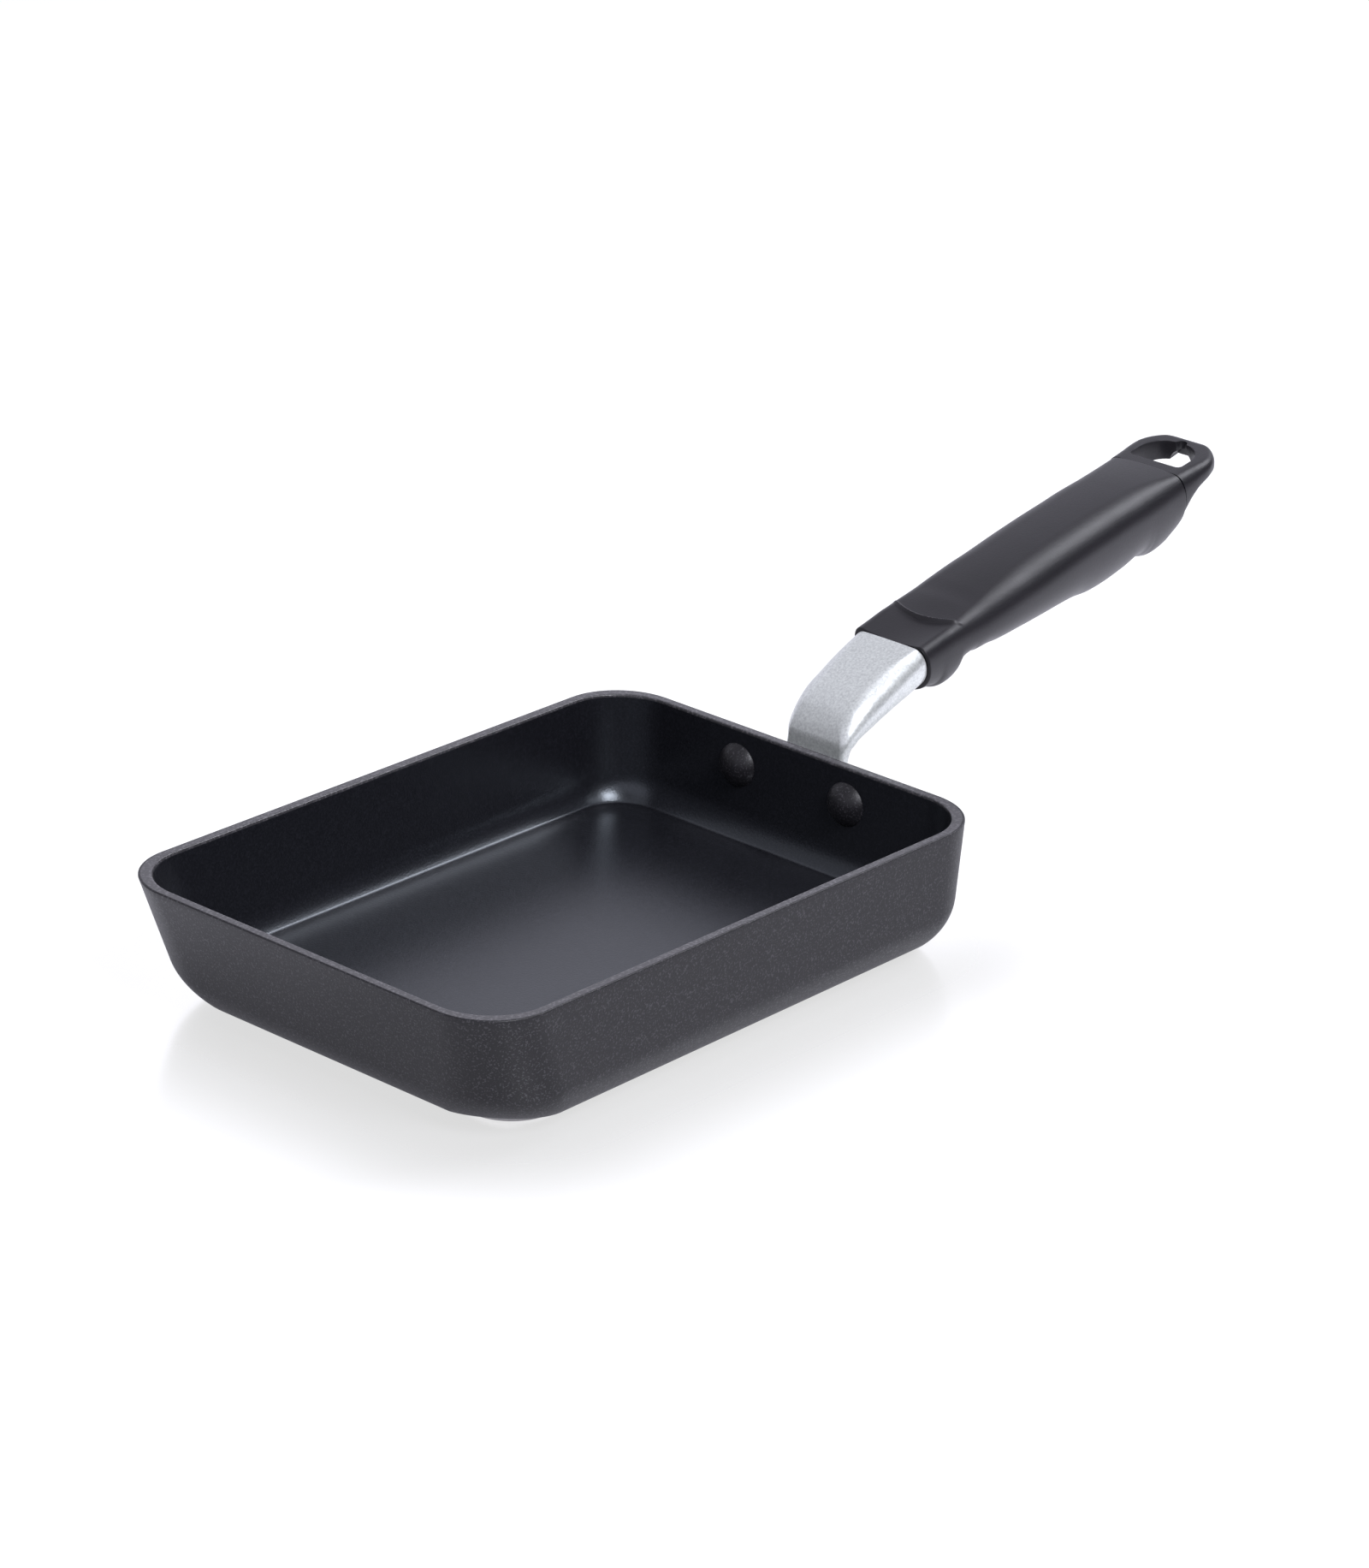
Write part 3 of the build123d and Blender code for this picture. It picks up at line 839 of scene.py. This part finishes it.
def cut(piece, tools, bevel):
    """Cuts tools out of a piece and softens the edges that this leaves."""
    for tool in tools:
        modifier = piece.modifiers.new("cut", "BOOLEAN")
        modifier.operation, modifier.solver, modifier.object = "DIFFERENCE", "EXACT", tool
    if bevel:
        edge = piece.modifiers.new("soft edge", "BEVEL")
        edge.width, edge.segments = bevel * MM, 3
        edge.limit_method, edge.angle_limit = "ANGLE", soft_edge_angle
    mesh = bpy.data.meshes.new_from_object(piece.evaluated_get(bpy.context.evaluated_depsgraph_get()))
    piece.modifiers.clear()
    piece.data = mesh
    mesh.polygons.foreach_set("use_smooth", [True] * len(mesh.polygons))
    mesh.set_sharp_from_angle(angle=smooth_angle)
    print(piece.name, "cut,", len(mesh.polygons), "faces")


for piece in (loop, eye_tool, bore_tool, grip):
    outwards(piece)
cut(loop, (eye_tool, bore_tool), soft_edge)
cut(grip, (bore_tool,), 0)
for tool in (eye_tool, bore_tool):
    bpy.data.objects.remove(tool)
for piece, node in ((grip, "handle_grip"), (loop, "hanging_loop")):
    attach(piece, "root")
    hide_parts(node)

# %% [markdown]
# Two rivets hold the bracket: a low dome inside the pan, coated like it, and a flatter
# tail on the flange. They are the same, so the tree makes one as a turned shape and puts
# it on the points of a short line.

# %% Rivets
def rivet_tree():
    """A rivet as a turned shape, on each of two points."""
    tree, given = start_tree("rivets", (
        ("Spacing", "Float", 37.0), ("Head radius", "Float", 6.0), ("Head height", "Float", 3.3),
        ("Tail radius", "Float", 4.5), ("Tail height", "Float", 1.8), ("Wall", "Float", 2.7),
        ("Flange", "Float", 3.4), ("Finish", "Material", None)))
    grid, row, column = unit_grid(tree, 41, 49)

    def dome(radius, height, share):
        """Distance from the axis and depth below the crown, on an arc."""
        ball = (radius * radius + height * height) / (height * 2.0)
        angle = (radius / ball).math("ARCSINE") * share
        return ball * angle.math("SINE"), ball * (1.0 - angle.math("COSINE"))

    # the first half of the rows is the head, the second the tail, and the shank is between
    dome_rows = 2.05
    head_r, head_sink = dome(given["Head radius"], given["Head height"], (row * dome_rows).clamped())
    tail_r, tail_sink = dome(given["Tail radius"], given["Tail height"], ((1.0 - row) * dome_rows).clamped())
    tail = row.math("GREATER_THAN", 0.5)
    radius = head_r * (1.0 - tail) + tail_r * tail
    inward = (given["Wall"] + given["Head height"] - head_sink) * (1.0 - tail)
    inward = inward + (tail_sink - given["Flange"] - given["Tail height"]) * tail
    angle = column * (2 * pi)
    shape = bent(tree, grid, -inward, radius * angle.math("SINE"), radius * angle.math("COSINE"), 1e-7)

    start = tree.node("ShaderNodeCombineXYZ", inputs={"X": wall_x * MM, "Y": given["Spacing"] * (-MM / 2),
                                                      "Z": rivet_height * MM})
    step = tree.node("ShaderNodeCombineXYZ", inputs={"Y": given["Spacing"] * MM})
    line = tree.node("GeometryNodeMeshLine", inputs={"Count": 2, "Start Location": start, "Offset": step})
    shape = tree.node("GeometryNodeInstanceOnPoints", inputs={"Points": line, "Instance": shape,
                                                              "Rotation": (0, rear_taper, 0)})
    return end_tree(tree, shape, given["Finish"])


rivets = grown("rivet_pair", rivet_tree(), Spacing=rivet_spacing, Wall=wall, Flange=flange_thickness,
               Finish=outside_coat)
outwards(rivets)
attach(rivets, "root")
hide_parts("pan_rivets")

# %% [markdown]
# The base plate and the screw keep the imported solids, which have their true shapes, and
# only get their finishes.

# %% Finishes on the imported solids
for node, material in (("base_plate", plate_steel), ("handle_screw", screw_steel)):
    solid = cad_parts[node]
    solid.data.materials.clear()
    solid.data.materials.append(material)
print("finishes on the plate and the screw")

# %% [markdown]
# The studio. A white floor and a white surround fill the picture, and black gloss gets
# its form from what it mirrors, so cards stand round the set, with softboxes between
# them. The camera, and anything glossy, sees the white things nearly white through Light
# Path, so the lamps can stay at a plain level.

# %% Stage helpers
def stage_sheet(name, corners, material):
    """A flat sheet of the studio, which isn't part of the pan."""
    mesh = bpy.data.meshes.new(name)
    mesh.from_pydata(corners, [], [(0, 1, 2, 3)])
    mesh.materials.append(material)
    sheet = bpy.data.objects.new(name, mesh)
    bpy.context.scene.collection.objects.link(sheet)
    return sheet


def seen_directly(tree):
    """1 for what the camera, a mirror or a glass sees, else 0, and the cool white that gloss mirrors."""
    tree.node("ShaderNodeLightPath")
    camera_ray, glossy_ray, clear_ray = [Sock(tree.tree, tree.last.outputs[name]) for name in
                                         ("Is Camera Ray", "Is Glossy Ray", "Is Transmission Ray")]
    colour = tree.blend(glossy_ray, (1, 1, 1, 1), (0.885, 0.88, 1.0, 1))
    return camera_ray.math("MAXIMUM", glossy_ray).math("MAXIMUM", clear_ray), colour, glossy_ray


print("stage helpers ready")

# %% [markdown]
# The floor mirrors the pan faintly, as a sheet of acrylic does, and less with distance
# from the pan's foot. What the pan mirrors of the floor carries a painted shadow of the
# pan: the glow is dim near the foot and bright further out, and the painted shadow is
# shortest at the front left. The sheet lies a hair below the base plate, so that the
# two never share a plane.

# %% Floor
floor_paint, tree, shader, place = finish("floor_paint", Base_Color=shade(253), Roughness=0.20, IOR=1.2)
foot_middle, foot_half_length, foot_half_width, foot_corner = 0.004, 0.063, 0.036, 0.02
# how far the painted shadow of the pan reaches, how soft its edge is, and how much shorter it is at the front
# left
mirror_reach, painted_shadow_reach, painted_shadow_soft, painted_shadow_shorter = 0.058, 0.087, 0.03, 0.075
floor_white, floor_share = 1.15, 0.6
x, y, _ = tree.split(place)
wide_of = [(side.math("ABSOLUTE") - half).math("MAXIMUM", 0.0)
           for side, half in ((x - foot_middle, foot_half_length), (y, foot_half_width))]
beyond = (wide_of[0] * wide_of[0] + wide_of[1] * wide_of[1]).math("SQRT") - foot_corner
near = eased(1.0 - (beyond - 0.006) / mirror_reach)
direct, colour, glossy = seen_directly(tree)
plug(tree.tree, shader.inputs["Metallic"], near * 0.8 * (1.0 - glossy * 0.85))
# painted shadow of the pan in the floor's glow as glossy rays see it: dim near the foot, brighter further out,
# shorter at the front left
short_shadow_front_left = eased((-x - 0.04) / 0.05) * eased((y + 0.04) / 0.07)
glow_with_painted_shadow = eased((beyond - painted_shadow_reach + short_shadow_front_left * painted_shadow_shorter) / painted_shadow_soft) * 0.85 + 0.65
strength = (glossy * (glow_with_painted_shadow - 1.0) + 1.0) * floor_white
glow = tree.node("ShaderNodeEmission", inputs={"Color": colour, "Strength": strength})
mixed = tree.node("ShaderNodeMixShader", inputs={0: direct * floor_share})
tree.tree.links.new(shader.outputs[0], tree.last.inputs[1])
tree.tree.links.new(glow.socket, tree.last.inputs[2])
output = next(n for n in tree.tree.nodes if n.type == "OUTPUT_MATERIAL")
tree.tree.links.new(mixed.socket, output.inputs["Surface"])
floor_level = -0.0002
stage_sheet("studio_floor", [(x, y, floor_level) for x, y in ((-3, -3), (4, -3), (4, 4), (-3, 4))], floor_paint)
print("floor ready")

# %% [markdown]
# The surround lights the pan evenly from all sides, and looks white where it is seen.

# %% Surround
world = bpy.data.worlds.new("surround")
world.use_nodes = True
bpy.context.scene.world = world
tree = Tree(world.node_tree)
direct, colour, _ = seen_directly(tree)
background = next(n for n in tree.tree.nodes if n.type == "BACKGROUND")
plug(tree.tree, background.inputs["Color"], colour)
plug(tree.tree, background.inputs["Strength"], 0.38 + direct * 0.68)
print("surround ready")

# %% [markdown]
# The cards, which the camera doesn't see: a grey ceiling over the handle, darker to the
# right, dark ones above and beside the front, and a grey one at the left. A surface is
# as light as the card that it mirrors.

# %% Cards round the set
def card(name, corners, level):
    """A sheet that shows one even grey to all but the camera."""
    paint = bpy.data.materials.new(name)
    paint.use_nodes = True
    tree = Tree(paint.node_tree)
    tree.tree.nodes.clear()
    lit = tree.node("ShaderNodeEmission", inputs={"Color": (0.9, 0.9, 1.0, 1), "Strength": level})
    tree.node("ShaderNodeOutputMaterial", inputs={"Surface": lit}, output=None)
    stage_sheet(name, corners, paint).visible_camera = False


def ceiling_card(name, left, right, front, rear, level, height=1.6):
    """A level card. Left and right are along the pan, front and rear across it."""
    corners = ((left, front), (left, rear), (right, rear), (right, front))
    card(name, [(x, y, height) for x, y in corners], level)


def standing_card(name, start, end, height, level):
    """An upright card between two places on the floor."""
    card(name, [(*start, 0), (*end, 0), (*end, height), (*start, height)], level)


ceiling_card("ceiling_rear", -2, 0.98, -0.5, 1.42, 0.66)
ceiling_card("ceiling_right", 0.98, 1.40, -0.5, 2.2, 0.42)
ceiling_card("ceiling_front", -2, 1.6, -2.4, -0.5, 0.12)
standing_card("right_card", (-1.4, -2.6), (2.9, -0.4), 1.2, 0.06)
standing_card("left_card", (-1.9, 0.5), (-0.3, 1.9), 1.35, 0.55)
print("cards ready")

# %% [markdown]
# Three softboxes light the set: a strong one beyond the near wall, and two high up on the
# handle's side. Their mirror images make the highlights.

# %% Lamps
set_middle = Vector((0.06, 0, 0.03))


def lamp(name, towards, distance, size, brightness):
    """A square soft lamp in a direction from the pan. Its brightness 1 would look just white."""
    light = bpy.data.lights.new(name, "AREA")
    light.shape, light.size, light.energy = "SQUARE", size, brightness * pi * size ** 2
    light.color = (0.92, 0.93, 1.0)
    holder = bpy.data.objects.new(name, light)
    bpy.context.scene.collection.objects.link(holder)
    direction = Vector(towards).normalized()
    place = set_middle + direction * distance
    holder.matrix_world = Matrix.Translation(place) @ (-direction).to_track_quat("-Z", "Y").to_matrix().to_4x4()
    holder.visible_camera = False


lamp("softbox_high", (0.67, -0.28, 0.69), 1.3, 0.5, 9.5)
lamp("softbox_top", (0.37, -0.08, 0.91), 1.3, 0.5, 3.5)
lamp("softbox_front", (-0.21, -0.69, 0.69), 1.3, 0.5, 22.0)
print("lamps ready")
